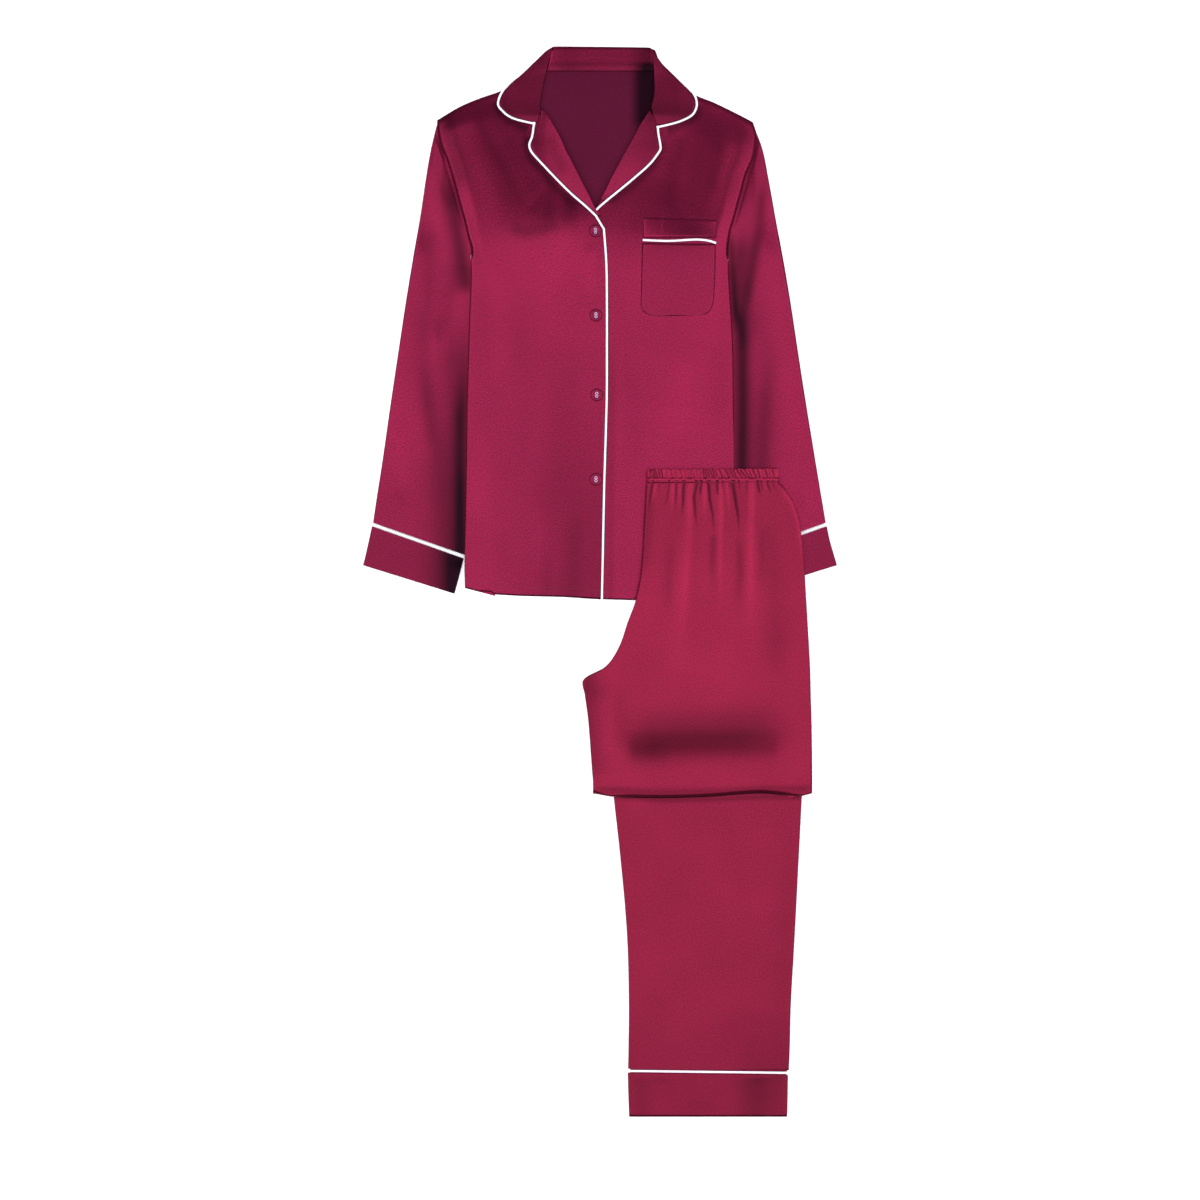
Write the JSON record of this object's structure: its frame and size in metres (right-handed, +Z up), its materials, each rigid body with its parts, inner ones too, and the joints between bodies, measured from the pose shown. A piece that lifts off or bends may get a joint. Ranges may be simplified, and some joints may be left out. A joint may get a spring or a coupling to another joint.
{
  "type": "pyjama set",
  "caption": "Satin pyjama set laid flat: a long-sleeved shirt with notched collar and contrast piping, and folded trousers with a gathered waist lying on its lower corner.",
  "frame": {"origin": "middle of the set's outline in plan, on the plane that it lies on", "axes": "+Y from the trouser hem to the shirt's collar, +X to the side where the trousers lie, +Z up out of the fronts"},
  "size_m": [0.585, 1.3216, 0.0212],
  "materials": {
    "wine_satin": "glossy satin weave with a soft sheen",
    "white_piping": "satin-covered cord",
    "wine_button": "polished"
  },
  "bodies": {
    "root": {"shirt_back": "wine_satin", "front_under": "wine_satin", "front_over": "wine_satin", "lapel_over": "wine_satin", "lapel_under": "wine_satin", "collar_back": "wine_satin", "collar_leaf_left": "wine_satin", "collar_leaf_right": "wine_satin", "sleeve_left": "wine_satin", "sleeve_right": "wine_satin", "cuff_left": "wine_satin", "cuff_right": "wine_satin", "pocket": "wine_satin", "pocket_band": "wine_satin", "waistband": "wine_satin", "leg_upper": "wine_satin", "trouser_core_upper": "wine_satin", "leg_lower": "wine_satin", "trouser_core_lower": "wine_satin", "hem_cuff": "wine_satin", "piping_collar_left": "white_piping", "piping_collar_right": "white_piping", "piping_front": "white_piping", "piping_lapel_under": "white_piping", "piping_pocket": "white_piping", "piping_cuff_left": "white_piping", "piping_cuff_right": "white_piping", "piping_hem": "white_piping", "button_1": "wine_button", "button_2": "wine_button", "button_3": "wine_button", "button_4": "wine_button"}
  },
  "joints": []
}
